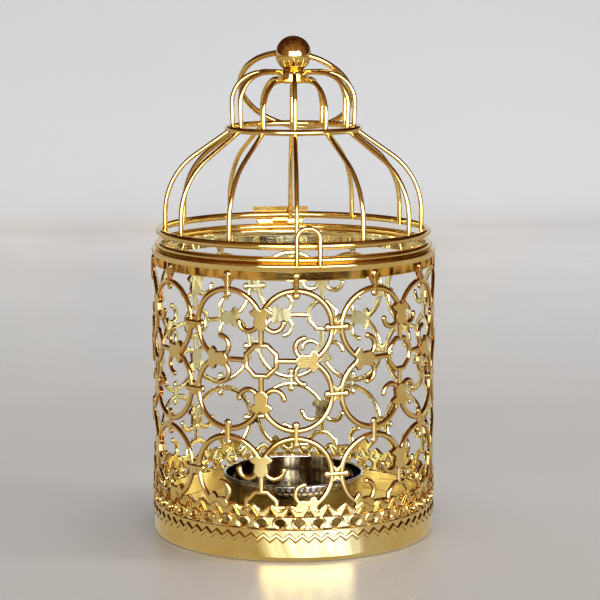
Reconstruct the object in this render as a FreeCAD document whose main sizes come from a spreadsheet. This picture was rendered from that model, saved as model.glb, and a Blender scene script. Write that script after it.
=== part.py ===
import FreeCAD, Part
import math
import os
import Sketcher

from FreeCAD import Placement, Rotation, Vector

# Birdcage tealight lantern: a pierced sheet cage on a pan, a hinged wire dome, and a loose candle cup.
# Millimetres. The origin is the middle of the foot on the table, +Z is up, the catch is at -Y.
SIZES = {
    # pierced sheet cage
    "wall_radius": 39.0,
    "sheet": 0.9,
    "foot_round": 1.3,
    "foot_lip": 2.6,
    "shoulder_round": 1.3,
    "lip_top": 79.7,
    "lip_width": 2.7,
    # filigree on the cage
    "unit_count": 6,
    "pattern_turn": -18.6,
    "band_edge": 75.4,
    "quatrefoil_height": 54.1,
    "row_pitch": 39.3,
    "lobe_spread": 9.4,
    "lobe_rise": 8.9,
    "lobe_radius": 9.7,
    "stroke": 1.45,
    "octagon_width": 9.8,
    "ear_reach": 3.0,
    "ear_drop": 1.1,
    "star_waist": 1.7,
    "hook_reach": 3.5,
    "hook_drop": 3.15,
    "hook_radius": 2.65,
    "hook_stroke": 1.3,
    "hook_end": 7.0,
    "collar_width": 2.0,
    "collar_length": 7.2,
    "flare_width": 5.3,
    "flare_drop": 1.5,
    # pierced border under the filigree
    "border_count": 48,
    "crest_height": 15.6,
    "trough_height": 14.1,
    "triangle_foot": 12.5,
    "triangle_width": 2.4,
    "triangle_tall": 2.0,
    "cell_height": 10.7,
    "cell_width": 3.2,
    "cell_tall": 2.5,
    # raised zigzag round the foot
    "zigzag_count": 72,
    "zigzag_height": 6.6,
    "zigzag_tall": 1.5,
    "zigzag_stroke": 0.9,
    "zigzag_proud": 0.3,
    # pan that closes the foot
    "floor_top": 3.4,
    "pan_sheet": 0.8,
    "pan_gap": 0.05,
    "pan_round": 0.5,
    # wires
    "ring_wire": 1.0,
    "rib_wire": 0.65,
    "waist_wire": 0.85,
    "catch_wire": 0.68,
    "solder_seat": 0.12,
    "rim_ring_radius": 37.3,
    "lid_ring_radius": 36.9,
    "ring_gap": 1.6,
    # wire dome
    "rib_count": 12,
    "rib_turn": -4.4,
    "rib_foot_drop": 0.8,
    "shoulder_height": 99.2,
    "shoulder_bend": 19.5,
    "waist_radius": 16.6,
    "waist_height": 112.3,
    "waist_bend": 1.4,
    "crown_radius": 17.2,
    "crown_height": 127.6,
    "crown_bend": 8.4,
    "crown_drop": 2.2,
    "hub_radius": 4.2,
    "hub_cover": 0.15,
    # ball and the ring through it
    "ball_radius": 4.95,
    "ball_sink": 0.8,
    "ball_bore": 1.42,
    "hanging_radius": 15.7,
    "hanging_wire": 0.8,
    "hanging_lift": 0.37,
    "hanging_turn": -14.0,
    "hanging_roll": 5.0,
    "hanging_lean": 44.0,
    # catch at the front
    "catch_width": 6.1,
    "catch_rise": 4.9,
    "catch_foot_drop": 1.5,
    "catch_bend": 2.95,
    # butt hinge at the back
    "leaf_width": 16.0,
    "leaf_sheet": 0.65,
    "leaf_rise": 2.3,
    "leaf_drop": 0.9,
    "knuckle_radius": 1.1,
    "knuckle_length": 4.2,
    "knuckle_gap": 0.2,
    "leaf_clearance": 0.15,
    "pin_radius": 0.5,
    "pin_play": 0.05,
    "pin_head_radius": 0.8,
    "pin_head": 0.4,
    # loose candle cup
    "cup_bore": 18.95,
    "cup_sheet": 0.4,
    "cup_height": 12.6,
    "cup_rim_radius": 19.75,
    "cup_rim_tall": 1.0,
    "cup_round": 1.4,
    "cup_rim_round": 0.3,
}

doc = FreeCAD.newDocument("birdcage_lantern")
sheet = doc.addObject("Spreadsheet::Sheet", "sheet")
for row, (name, value) in enumerate(SIZES.items(), start=1):
    sheet.set(f"A{row}", name)
    sheet.set(f"B{row}", str(value))
    sheet.setAlias(f"B{row}", name)
doc.recompute()


def size(expression):
    return float(sheet.evalExpression(expression))


def bind(item, **expressions):
    for prop, expression in expressions.items():
        item.setExpression(prop, expression)


def at(name):
    return "sheet." + name


# A turned body, from an outline of level (H) and upright (V) lines.
# Each line's end corner has a radius, or None where it is sharp.
def turned_body(name, lines, corners):
    body = doc.addObject("PartDesign::Body", name)
    sketch = body.newObject("Sketcher::SketchObject", name + "_profile")
    plane = [f for f in body.Origin.OriginFeatures if f.Role == "XZ_Plane"][0]
    sketch.AttachmentSupport = [(plane, "")]
    sketch.MapMode = "FlatFace"
    count = len(lines)
    places = [size(place) for _, place in lines]
    rounds = [0.0 if corner is None else size(corner) for corner in corners]

    def corner_point(index):
        a, b = index, (index + 1) % count
        if lines[a][0] == "H":
            return Vector(places[b], places[a], 0)
        return Vector(places[a], places[b], 0)

    starts, ends = [], []
    for index in range(count):
        first, last = corner_point(index - 1), corner_point(index)
        along = (last - first).normalize()
        starts.append(first + along * rounds[index - 1])
        ends.append(last - along * rounds[index])
    for index in range(count):
        sketch.addGeometry(Part.LineSegment(starts[index], ends[index]), False)
    for index, (kind, place) in enumerate(lines):
        sketch.addConstraint(Sketcher.Constraint("Horizontal" if kind == "H" else "Vertical", index))
        if place == "0":
            axis = -1 if kind == "H" else -2
            sketch.addConstraint(Sketcher.Constraint("PointOnObject", index, 1, axis))
            continue
        word = "DistanceY" if kind == "H" else "DistanceX"
        number = sketch.addConstraint(Sketcher.Constraint(word, -1, 1, index, 1, places[index]))
        sketch.setExpression(f"Constraints[{number}]", place)
    for index, corner in enumerate(corners):
        following = (index + 1) % count
        if corner is None:
            sketch.addConstraint(Sketcher.Constraint("Coincident", index, 2, following, 1))
            continue
        tip = corner_point(index)
        back = (ends[index] - tip).normalize()
        ahead = (starts[following] - tip).normalize()
        centre = tip + (back + ahead) * rounds[index]
        first, last = ends[index] - centre, starts[following] - centre
        leftwards = first.cross(last).z > 0
        if not leftwards:
            first, last = last, first
        opening = math.atan2(first.y, first.x)
        circle = Part.Circle(centre, Vector(0, 0, 1), rounds[index])
        number = sketch.addGeometry(Part.ArcOfCircle(circle, opening, opening + math.pi / 2), False)
        near, far = (1, 2) if leftwards else (2, 1)
        sketch.addConstraint(Sketcher.Constraint("Tangent", index, 2, number, near))
        sketch.addConstraint(Sketcher.Constraint("Tangent", number, far, following, 1))
        radius = sketch.addConstraint(Sketcher.Constraint("Radius", number, rounds[index]))
        sketch.setExpression(f"Constraints[{radius}]", corner)
    spin = body.newObject("PartDesign::Revolution", name + "_turning")
    spin.Profile = sketch
    spin.ReferenceAxis = (sketch, ["V_Axis"])
    spin.Angle = 360.0
    body.Tip = spin
    return body


# Straight runs joined by tangent arcs.
def bent_path(points, bends):
    edges = []
    last = points[0]
    for index, bend in enumerate(bends, start=1):
        tip = points[index]
        back = (points[index - 1] - tip).normalize()
        ahead = (points[index + 1] - tip).normalize()
        half = back.getAngle(ahead) / 2
        reach = bend / math.tan(half)
        start, end = tip + back * reach, tip + ahead * reach
        centre = tip + (back + ahead).normalize() * (bend / math.sin(half))
        middle = centre + (tip - centre).normalize() * bend
        edges.append(Part.LineSegment(last, start).toShape())
        edges.append(Part.Arc(start, middle, end).toShape())
        last = end
    edges.append(Part.LineSegment(last, points[-1]).toShape())
    return Part.Wire(edges)


# A round wire swept along bent runs.
def wire_along(name, points, bends, radius):
    path = doc.addObject("Part::Feature", name + "_path")
    path.Shape = bent_path(points, bends)
    section = doc.addObject("Part::Circle", name + "_section")
    bind(section, Radius=radius)
    section.Placement = Placement(points[0], Rotation(Vector(0, 0, 1), points[1] - points[0]))
    sweep = doc.addObject("Part::Sweep", name)
    sweep.Sections = [section]
    sweep.Spine = (path, [f"Edge{n + 1}" for n in range(len(path.Shape.Edges))])
    sweep.Solid = True
    sweep.Frenet = False
    return sweep


def torus(name, radius, wire, height):
    ring = doc.addObject("Part::Torus", name)
    bind(ring, Radius1=radius, Radius2=wire)
    ring.setExpression("Placement.Base.z", height)
    return ring


def box(name, length, width, tall, corner):
    block = doc.addObject("Part::Box", name)
    bind(block, Length=length, Width=width, Height=tall)
    for letter, expression in zip("xyz", corner):
        block.setExpression("Placement.Base." + letter, expression)
    return block


# A round bar that lies along X, starting at the given corner of the hinge line.
def cross_bar(name, radius, length, start):
    bar = doc.addObject("Part::Cylinder", name)
    bar.Placement = Placement(Vector(), Rotation(Vector(0, 1, 0), 90))
    bind(bar, Radius=radius, Height=length)
    for letter, expression in zip("xyz", start):
        bar.setExpression("Placement.Base." + letter, expression)
    return bar


def fused(name, pieces):
    union = doc.addObject("Part::MultiFuse", name)
    union.Shapes = pieces
    union.Refine = True
    return union


def cut(name, base, tool):
    result = doc.addObject("Part::Cut", name)
    result.Base = base
    result.Tool = tool
    return result


def polygon_face(points):
    corners = [Vector(x, 0, z) for x, z in points]
    return Part.Face(Part.makePolygon(corners + corners[:1]))


def bar_face(x, z, wide, tall):
    w, t = wide / 2, tall / 2
    return polygon_face([(x - w, z - t), (x + w, z - t), (x + w, z + t), (x - w, z + t)])


def disc_face(x, z, radius):
    return Part.Face(Part.Wire(Part.makeCircle(radius, Vector(x, 0, z), Vector(0, 1, 0))))


def ring_face(x, z, radius, stroke):
    return disc_face(x, z, radius + stroke / 2).cut(disc_face(x, z, radius - stroke / 2))


# A curled stroke with a round end, from one angle to another about its centre.
def curl_face(x, z, radius, first, last, stroke):
    def point(reach, angle):
        return Vector(x + reach * math.cos(angle), 0, z + reach * math.sin(angle))

    outer, inner = radius + stroke / 2, radius - stroke / 2
    middle = (first + last) / 2
    step = stroke / 2 / radius * (1 if last > first else -1)
    edges = [
        Part.Arc(point(outer, first), point(outer, middle), point(outer, last)).toShape(),
        Part.Arc(point(outer, last), point(radius, last + step), point(inner, last)).toShape(),
        Part.Arc(point(inner, last), point(inner, middle), point(inner, first)).toShape(),
        Part.LineSegment(point(inner, first), point(outer, first)).toShape(),
    ]
    return Part.Face(Part.Wire(edges))


# A star that joins two lobes: its head is at the given height, and a stem runs down to the octagon.
def star_face(head):
    stem = size("stroke") / 2
    ear, waist = size("ear_reach"), size("star_waist")
    hook_height = head - size("hook_drop")
    foot = hook_height - size("hook_radius")
    stem_end = size("octagon_width") / 2 - stem
    half = [(ear, head - size("ear_drop")), (waist, hook_height), (stem, foot), (stem, stem_end)]
    star = polygon_face([(0, head)] + half + [(-x, z) for x, z in reversed(half)])
    reach, radius, stroke = size("hook_reach"), size("hook_radius"), size("hook_stroke")
    hook = curl_face(reach, hook_height, radius, -math.pi, -math.radians(size("hook_end")), stroke)
    return star.fuse([hook, hook.mirror(Vector(), Vector(1, 0, 0))])


# One quatrefoil about the middle of its octagon, as a flat face: four lobes, an octagon and four stars.
def quatrefoil_face():
    stroke, radius = size("stroke"), size("lobe_radius")
    spread, rise = size("lobe_spread"), size("lobe_rise")
    outer = radius + stroke / 2
    signs = (-1, 1)
    lobes = [ring_face(spread * i, rise * k, radius, stroke) for i in signs for k in signs]
    side_cusp = spread + math.sqrt(radius**2 - rise**2)
    end_cusp = rise + math.sqrt(radius**2 - spread**2)
    inside = polygon_face([(side_cusp, 0), (0, end_cusp), (-side_cusp, 0), (0, -end_cusp)])
    rim = lobes[0].fuse(lobes[1:]).cut(inside)

    def octagon(width):
        reach = width / 2 / math.cos(math.pi / 8)
        angles = [math.pi / 8 + k * math.pi / 4 for k in range(8)]
        return polygon_face([(reach * math.cos(a), reach * math.sin(a)) for a in angles])

    middle = octagon(size("octagon_width")).cut(octagon(size("octagon_width") - 2 * stroke))
    heads = [rise + math.sqrt(outer**2 - spread**2), spread + math.sqrt(outer**2 - rise**2)]
    stars = []
    for quarter in range(4):
        star = star_face(heads[quarter % 2])
        star.rotate(Vector(), Vector(0, 1, 0), 90 * quarter)
        stars.append(star)
    return rim.fuse([middle] + stars)


# A tie bar with round ends that binds two neighbouring strokes.
def collar_face(x, z, upright):
    end = size("collar_width") / 2
    run = size("collar_length") / 2 - end
    bar = bar_face(0, 0, 2 * run, 2 * end).fuse([disc_face(-run, 0, end), disc_face(run, 0, end)])
    if upright:
        bar.rotate(Vector(), Vector(0, 1, 0), 90)
    bar.translate(Vector(x, 0, z))
    return bar


# The widened foot of a top collar where it runs into the band.
def flare_face(x, z):
    wide, narrow = size("flare_width") / 2, size("collar_width") / 2
    low = z - size("flare_drop")
    return polygon_face([(x - wide, z), (x - narrow, low), (x + narrow, low), (x + wide, z)])


# The flat openings of one unit of the pattern: what its strokes leave free between border and top band.
# They are cut for three units side by side, and those whose middles lie within one pitch are kept.
def unit_openings():
    pitch = 2 * math.pi * size("wall_radius") / size("unit_count")
    top = size("band_edge")
    high = size("quatrefoil_height")
    low = high - size("row_pitch")
    spread, rise = size("lobe_spread"), size("lobe_rise")
    lobe_top = high + rise + size("lobe_radius")
    motif = quatrefoil_face()
    lattice = []
    for x in (0, pitch):
        for z in (high, low):
            copy = motif.copy()
            copy.translate(Vector(x, 0, z))
            lattice.append(copy)
        for side in (-spread, spread):
            lattice.append(collar_face(x + side, (high + low) / 2, True))
            lattice.append(collar_face(x + side, (lobe_top + top) / 2, True))
            lattice.append(flare_face(x + side, top))
    for z in (high, low):
        for side in (-rise, rise):
            lattice.append(collar_face(pitch / 2, z + side, False))

    teeth = int(size("border_count") / size("unit_count"))
    tooth = pitch / teeth
    wave = []
    for k in range(-teeth, 2 * teeth):
        wave += [(k * tooth, size("trough_height")), ((k + 0.5) * tooth, size("crest_height"))]
    left, right = wave[0][0], wave[-1][0]
    window = polygon_face(wave + [(right, top), (left, top)])
    first = -0.3 * pitch
    smallest = size("stroke") ** 2 / 4
    faces = window.cut(lattice).Faces
    return [face for face in faces if face.Area > smallest and 0 < face.CenterOfMass.x - first < pitch]


# Solids that pierce the sheet squarely, each at its own place round the cage.
def piercing_solids():
    radius, reach = size("wall_radius"), 2 * size("sheet")
    solids = []

    def pierce(face, angle):
        x = face.CenterOfMass.x
        tool = face.copy()
        tool.translate(Vector(-x, -radius - reach, 0))
        tool = tool.extrude(Vector(0, 2 * reach, 0))
        tool.rotate(Vector(), Vector(0, 0, 1), size("pattern_turn") + math.degrees(x / radius) + angle)
        solids.append(tool)

    units = int(size("unit_count"))
    for face in unit_openings():
        for unit in range(units):
            pierce(face, 360 * unit / units)

    wide, tall, z = size("cell_width") / 2, size("cell_tall") / 2, size("cell_height")
    top = [(wide, z), (wide / 2, z + tall), (-wide / 2, z + tall)]
    cell = polygon_face(top + [(-x, 2 * z - y) for x, y in top])
    foot, half = size("triangle_foot"), size("triangle_width") / 2
    triangle = polygon_face([(-half, foot), (half, foot), (0, foot + size("triangle_tall"))])
    step = 360 / size("border_count")
    for n in range(int(size("border_count"))):
        pierce(cell, n * step)
        pierce(triangle, (n + 0.5) * step)
    return Part.Compound(solids)


# A raised zigzag line that runs round the foot, one upright prism to a tooth.
def zigzag_solid():
    teeth = int(size("zigzag_count"))
    outer = size("wall_radius + zigzag_proud")
    inner = size("wall_radius - sheet / 2")
    half = outer * math.tan(math.pi / teeth)
    rise = size("zigzag_tall") / 2
    middle = size("zigzag_height")
    thick = size("zigzag_stroke") / 2 / math.cos(math.atan2(2 * rise, half))
    line = [(-half, middle - rise), (0, middle + rise), (half, middle - rise)]
    face = polygon_face([(x, z + thick) for x, z in line] + [(x, z - thick) for x, z in reversed(line)])
    face.translate(Vector(0, -outer, 0))
    prism = face.extrude(Vector(0, outer - inner, 0))
    prisms = []
    for tooth in range(teeth):
        copy = prism.copy()
        copy.rotate(Vector(), Vector(0, 0, 1), 360 * tooth / teeth)
        prisms.append(copy)
    return prisms[0].fuse(prisms[1:])


# Cage: sheet wall, pan, rim ring
blank = turned_body(
    "wall_blank",
    [("H", "0"), ("V", at("wall_radius")), ("H", at("lip_top")),
     ("V", "sheet.wall_radius - sheet.lip_width"), ("H", "sheet.lip_top - sheet.sheet"),
     ("V", "sheet.wall_radius - sheet.sheet"), ("H", at("sheet")),
     ("V", "sheet.wall_radius - sheet.foot_lip")],
    [at("foot_round"), at("shoulder_round"), None, None, "sheet.shoulder_round - sheet.sheet",
     "sheet.foot_round - sheet.sheet", None, None],
)
openings = doc.addObject("Part::Feature", "wall_openings")
openings.Shape = piercing_solids()
zigzag = doc.addObject("Part::Feature", "zigzag")
zigzag.Shape = zigzag_solid()
wall = cut("cage_wall", fused("embossed_blank", [blank, zigzag]), openings)

pan = turned_body(
    "base_plate",
    [("H", at("floor_top")), ("V", "0"), ("H", "sheet.floor_top - sheet.pan_sheet"),
     ("V", "sheet.wall_radius - sheet.sheet - sheet.pan_gap - sheet.pan_sheet"), ("H", at("sheet")),
     ("V", "sheet.wall_radius - sheet.sheet - sheet.pan_gap")],
    [None, None, None, None, at("pan_round"), at("pan_round")],
)

rim_height = "sheet.lip_top + sheet.ring_wire - sheet.solder_seat"
lid_height = f"{rim_height} + 2 * sheet.ring_wire + sheet.ring_gap"
rim_form = torus("rim_ring_form", at("rim_ring_radius"), at("ring_wire"), rim_height)
rim_ring = cut("rim_ring", rim_form, blank)

# Lid: ring, waist ring, hub, ribs, ball
lid_ring = torus("lid_ring", at("lid_ring_radius"), at("ring_wire"), lid_height)
waist_ring = torus(
    "waist_ring",
    "sheet.waist_radius + sheet.rib_wire + sheet.waist_wire - sheet.solder_seat",
    at("waist_wire"),
    at("waist_height"),
)
hub_top = "sheet.crown_height + sheet.rib_wire + sheet.hub_cover"
hub = doc.addObject("Part::Cylinder", "crown_hub")
bind(hub, Radius=at("hub_radius"), Height="2 * (sheet.rib_wire + sheet.hub_cover) + sheet.crown_drop")
hub.setExpression(
    "Placement.Base.z", "sheet.crown_height - sheet.crown_drop - sheet.rib_wire - sheet.hub_cover"
)

foot_radius = size("lid_ring_radius - ring_wire - rib_wire + solder_seat")
foot_height = size(lid_height) - size("rib_foot_drop")
rib_bends = [size("shoulder_bend"), size("waist_bend"), size("crown_bend")]
rib_seats = doc.addObject("Part::Compound", "rib_seats")
rib_seats.Links = [lid_ring, waist_ring, hub]


# A rib bent to one of two crown heights, since two of the six pairs pass under the others.
def rib_form(name, crown):
    points = [
        Vector(0, -foot_radius, foot_height),
        Vector(0, -foot_radius, size("shoulder_height")),
        Vector(0, -size("waist_radius"), size("waist_height")),
        Vector(0, -size("crown_radius"), crown),
        Vector(0, -size("hub_radius") / 2, crown),
    ]
    return cut(name, wire_along(name + "_bar", points, rib_bends, at("rib_wire")), rib_seats)


rib_forms = [
    rib_form("high_rib", size("crown_height")),
    rib_form("low_rib", size("crown_height - crown_drop")),
]
ribs = []
doc.recompute()
for number in range(int(size("rib_count"))):
    rib = doc.addObject("Part::Feature", f"rib_{number + 1:02d}")
    rib.Shape = rib_forms[number % 6 in (1, 5)].Shape
    turn = size("rib_turn") + 360 * number / size("rib_count")
    rib.Placement = Placement(Vector(), Rotation(Vector(0, 0, 1), turn))
    ribs.append(rib)

ball_height = f"{hub_top} + sheet.ball_radius - sheet.ball_sink"
ball_form = doc.addObject("Part::Sphere", "ball_form")
bind(ball_form, Radius=at("ball_radius"), Angle1="-asin(1 - sheet.ball_sink / sheet.ball_radius)")
ball_form.setExpression("Placement.Base.z", ball_height)
ball_centre = Vector(0, 0, size(ball_height))
bore_turn = Rotation(Vector(0, 0, 1), size("hanging_turn"))
bore_frame = bore_turn * Rotation(Vector(0, 1, 0), size("hanging_roll"))
bore = doc.addObject("Part::Cylinder", "ball_bore")
bind(bore, Radius=at("ball_bore"), Height="4 * sheet.ball_radius")
bore_start = Vector(-2 * size("ball_radius"), 0, 0)
bore.Placement = Placement(
    ball_centre + bore_frame.multVec(bore_start), bore_frame * Rotation(Vector(0, 1, 0), 90)
)
ball = cut("finial_ball", ball_form, bore)

# Loose ring through the ball, leaning back on the dome
hanging_ring = doc.addObject("Part::Torus", "hanging_ring")
bind(hanging_ring, Radius1=at("hanging_radius"), Radius2=at("hanging_wire"))
leaning = bore_frame * Rotation(Vector(1, 0, 0), -size("hanging_lean"))
ring_reach = Vector(0, size("hanging_radius") - size("hanging_lift"), 0)
hanging_ring.Placement = Placement(ball_centre + leaning.multVec(ring_reach), leaning)

# Catch: an upright wire loop soldered to the front of the rim
rim_front = size("rim_ring_radius + ring_wire + catch_wire - solder_seat")
leg = size("catch_width") / 2
catch_y = -math.sqrt(rim_front**2 - leg**2)
catch_top = size(lid_height) + size("catch_rise")
catch_foot = size(rim_height) - size("catch_foot_drop")
catch_points = [
    Vector(-leg, catch_y, catch_foot),
    Vector(-leg, catch_y, catch_top),
    Vector(leg, catch_y, catch_top),
    Vector(leg, catch_y, catch_foot),
]
catch_bar = wire_along("catch_bar", catch_points, [size("catch_bend")] * 2, at("catch_wire"))
rim_seats = doc.addObject("Part::Compound", "rim_seats")
rim_seats.Links = [rim_form, blank]
catch = cut("front_catch", catch_bar, rim_seats)

# Butt hinge: three knuckles on one pin, midway between the two rings
pin_y = "(sheet.rim_ring_radius + sheet.ring_wire + sheet.knuckle_radius - sheet.solder_seat)"
pin_z = f"(({rim_height} + {lid_height}) / 2)"
knuckle_front = f"({pin_y} - sheet.knuckle_radius)"
side_start = "(sheet.knuckle_length / 2 + sheet.knuckle_gap)"
side_end = f"({side_start} + sheet.knuckle_length)"
leaf_gap = "(sheet.knuckle_radius + sheet.leaf_clearance)"
leaf_start = "-sheet.leaf_width / 2"
middle_start = "-sheet.knuckle_length / 2"
lid_back = "sheet.lid_ring_radius + sheet.ring_wire - sheet.solder_seat"


def knuckle(name, start):
    return cross_bar(name, at("knuckle_radius"), at("knuckle_length"), (start, pin_y, pin_z))


upper_plate = box(
    "upper_plate",
    at("leaf_width"),
    at("leaf_sheet"),
    f"{lid_height} + sheet.leaf_rise - {pin_z} - {leaf_gap}",
    (leaf_start, lid_back, f"{pin_z} + {leaf_gap}"),
)
upper_tongue = box(
    "upper_tongue",
    at("knuckle_length"),
    at("leaf_sheet"),
    f"{leaf_gap} + sheet.leaf_sheet",
    (middle_start, knuckle_front, pin_z),
)
upper_blank = fused("upper_blank", [upper_plate, upper_tongue, knuckle("upper_knuckle", middle_start)])
bore_corner = (leaf_start, pin_y, pin_z)
upper_bore = cross_bar("upper_bore", "sheet.pin_radius + sheet.pin_play", at("leaf_width"), bore_corner)
upper_cuts = doc.addObject("Part::Compound", "upper_cuts")
upper_cuts.Links = [upper_bore, lid_ring]
upper_leaf = cut("hinge_upper_leaf", upper_blank, upper_cuts)

lower_foot = f"({rim_height} - sheet.leaf_drop)"
lower_pieces = [
    box(
        "lower_plate",
        at("leaf_width"),
        at("leaf_sheet"),
        f"{pin_z} - {leaf_gap} - {lower_foot}",
        (leaf_start, knuckle_front, lower_foot),
    )
]
for side, start in (("left", f"-{side_end}"), ("right", side_start)):
    tongue_corner = (start, knuckle_front, f"{pin_z} - {leaf_gap}")
    tongue = box(side + "_tongue", at("knuckle_length"), at("leaf_sheet"), leaf_gap, tongue_corner)
    lower_pieces += [tongue, knuckle(side + "_knuckle", start)]
lower_blank = fused("lower_blank", lower_pieces)
lower_bore = cross_bar("lower_bore", at("pin_radius"), at("leaf_width"), bore_corner)
lower_cuts = doc.addObject("Part::Compound", "lower_cuts")
lower_cuts.Links = [lower_bore, rim_form, blank]
lower_leaf = cut("hinge_lower_leaf", lower_blank, lower_cuts)

pin_bar = cross_bar("pin_bar", at("pin_radius"), f"2 * {side_end}", (f"-{side_end}", pin_y, pin_z))
pin_heads = [
    cross_bar(side + "_head", at("pin_head_radius"), at("pin_head"), (start, pin_y, pin_z))
    for side, start in (("left", f"-{side_end} - sheet.pin_head"), ("right", side_end))
]
hinge_pin = fused("hinge_pin", [pin_bar] + pin_heads)

# Loose candle cup
cup_top = "sheet.floor_top + sheet.cup_height"
cup = turned_body(
    "tealight_cup",
    [("H", at("floor_top")), ("V", "sheet.cup_bore + sheet.cup_sheet"),
     ("H", f"{cup_top} - sheet.cup_rim_tall"), ("V", at("cup_rim_radius")), ("H", cup_top),
     ("V", at("cup_bore")), ("H", "sheet.floor_top + sheet.cup_sheet"), ("V", "0")],
    [at("cup_round"), None, at("cup_rim_round"), at("cup_rim_round"), at("cup_rim_round"),
     "sheet.cup_round - sheet.cup_sheet", None, None],
)

doc.recompute()
nodes = [wall, pan, rim_ring, catch, lower_leaf, hinge_pin, lid_ring, waist_ring, hub, ball, upper_leaf]
nodes += ribs + [hanging_ring, cup]
for item in doc.Objects:
    if "Invalid" in item.State or "Error" in item.State:
        raise RuntimeError(f"{item.Label} failed: {item.State}")
for node in nodes:
    if node.Shape.isNull() or not node.Shape.isValid():
        raise RuntimeError(f"{node.Label} has no valid shape")

os.makedirs("parts", exist_ok=True)
for node in nodes:
    node.Shape.exportStep(f"parts/{node.Label}.step")
    print(node.Label, len(node.Shape.Solids), "solid", round(node.Shape.Volume, 2), "mm3")
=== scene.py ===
import math

import bmesh
import bpy
from bmesh.types import BMEdge, BMFace, BMVert
from mathutils import Matrix, Vector


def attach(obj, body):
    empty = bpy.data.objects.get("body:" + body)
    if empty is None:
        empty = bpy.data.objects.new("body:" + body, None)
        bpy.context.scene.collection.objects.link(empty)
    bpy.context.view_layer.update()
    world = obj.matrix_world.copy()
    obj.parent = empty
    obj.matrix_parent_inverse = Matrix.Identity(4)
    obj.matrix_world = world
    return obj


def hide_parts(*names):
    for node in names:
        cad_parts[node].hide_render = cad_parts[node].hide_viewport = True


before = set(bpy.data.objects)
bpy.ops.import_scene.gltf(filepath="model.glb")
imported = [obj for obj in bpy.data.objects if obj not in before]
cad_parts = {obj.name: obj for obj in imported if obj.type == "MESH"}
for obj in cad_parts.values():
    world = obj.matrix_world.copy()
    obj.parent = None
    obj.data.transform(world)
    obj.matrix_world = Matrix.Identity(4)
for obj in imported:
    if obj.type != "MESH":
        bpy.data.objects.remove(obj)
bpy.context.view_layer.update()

mm = 0.001
weld = 1e-4
fullTurn = 2 * math.pi
quarterTurn = math.pi / 2
upright = Vector((0, 0, 1))
unmoved = Matrix.Identity(4)
print("frame loaded:", len(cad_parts), "nodes")


# a socket that takes part in sums, and the one way to add any other node
class Shade:
    def __init__(self, tree, socket=None):
        self.tree = tree
        self.socket = socket

    def node(self, kind, settings=None, sockets=None, out=0):
        made = self.tree.nodes.new("ShaderNode" + kind)
        for key, value in (settings or {}).items():
            if key == "stops":
                stops = made.color_ramp.elements
                while len(stops) < len(value):
                    stops.new(1.0)
                for stop, (place, colour) in zip(stops, value):
                    stop.position = place
                    stop.color = colour
            else:
                setattr(made, key, value)
        for key, value in (sockets or {}).items():
            if isinstance(value, Shade):
                self.tree.links.new(value.socket, made.inputs[key])
            else:
                made.inputs[key].default_value = value
        return Shade(self.tree, made.outputs[out])

    def maths(self, operation, first, second=0.0):
        return self.node("Math", {"operation": operation}, {0: first, 1: second})

    def __add__(self, other):
        return self.maths("ADD", self, other)

    __radd__ = __add__

    def __sub__(self, other):
        return self.maths("SUBTRACT", self, other)

    def __rsub__(self, other):
        return self.maths("SUBTRACT", other, self)

    def __mul__(self, other):
        return self.maths("MULTIPLY", self, other)

    __rmul__ = __mul__

    def __truediv__(self, other):
        return self.maths("DIVIDE", self, other)

    def __rtruediv__(self, other):
        return self.maths("DIVIDE", other, self)

    def __abs__(self):
        return self.maths("ABSOLUTE", self)

    def span(self, low, high, toLow, toHigh):
        return self.node("MapRange", {}, {0: self, 1: low, 2: high, 3: toLow, 4: toHigh})

    def mix(self, first, second):
        return self.node("Mix", {"data_type": "RGBA"}, {0: self, 6: first, 7: second}, 2)

    def axis(self, letter):
        return self.node("SeparateXYZ", {}, {0: self}, letter)

    def stretched(self, scale):
        return self.node("Mapping", {}, {"Vector": self, "Scale": scale})

    def noise(self, scale, detail=2.0):
        return self.node("TexNoise", {}, {"Vector": self, "Scale": scale, "Detail": detail})


def newFinish(name):
    finish = bpy.data.materials.new(name)
    finish.use_nodes = True
    finish.node_tree.nodes.clear()
    shade = Shade(finish.node_tree)
    return finish, shade, shade.node("TexCoord", out="Object")


def useSurface(finish, shader):
    output = finish.node_tree.nodes.new("ShaderNodeOutputMaterial")
    finish.node_tree.links.new(shader.socket, output.inputs[0])


reliefDepth = 0.02 * mm


def useMetal(finish, shade, colour, metal, polish, relief, strength):
    bump = shade.node("Bump", {}, {"Height": relief, "Strength": strength, "Distance": reliefDepth})
    useSurface(finish, shade.node(
        "BsdfPrincipled", {},
        {"Base Color": colour, "Metallic": metal, "Roughness": polish, "Normal": bump},
    ))


goldLook = {
    "deep": (0.84, 0.57, 0.16, 1),
    "bright": (0.92, 0.68, 0.25, 1),
    "pale": (0.95, 0.79, 0.43, 1),
    # painted sheen: the paler colour of faces turned in towards the middle of the cage
    "inner": (0.94, 0.87, 0.53, 1),
    # painted shade: the dark reflection on sides that turn away from facing out
    "edge": (0.34, 0.14, 0.045, 1),
    "cloudScale": 70,
    "pittingScale": 900,
    "hairScale": (260, 260, 2600),
    "clouded": (0.35, 0.65),
    "tarnished": (0.22, 0.36),
    "turnedIn": (-0.6, 0.0),
    "turnedAside": (0.50, 0.95),
}
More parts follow.
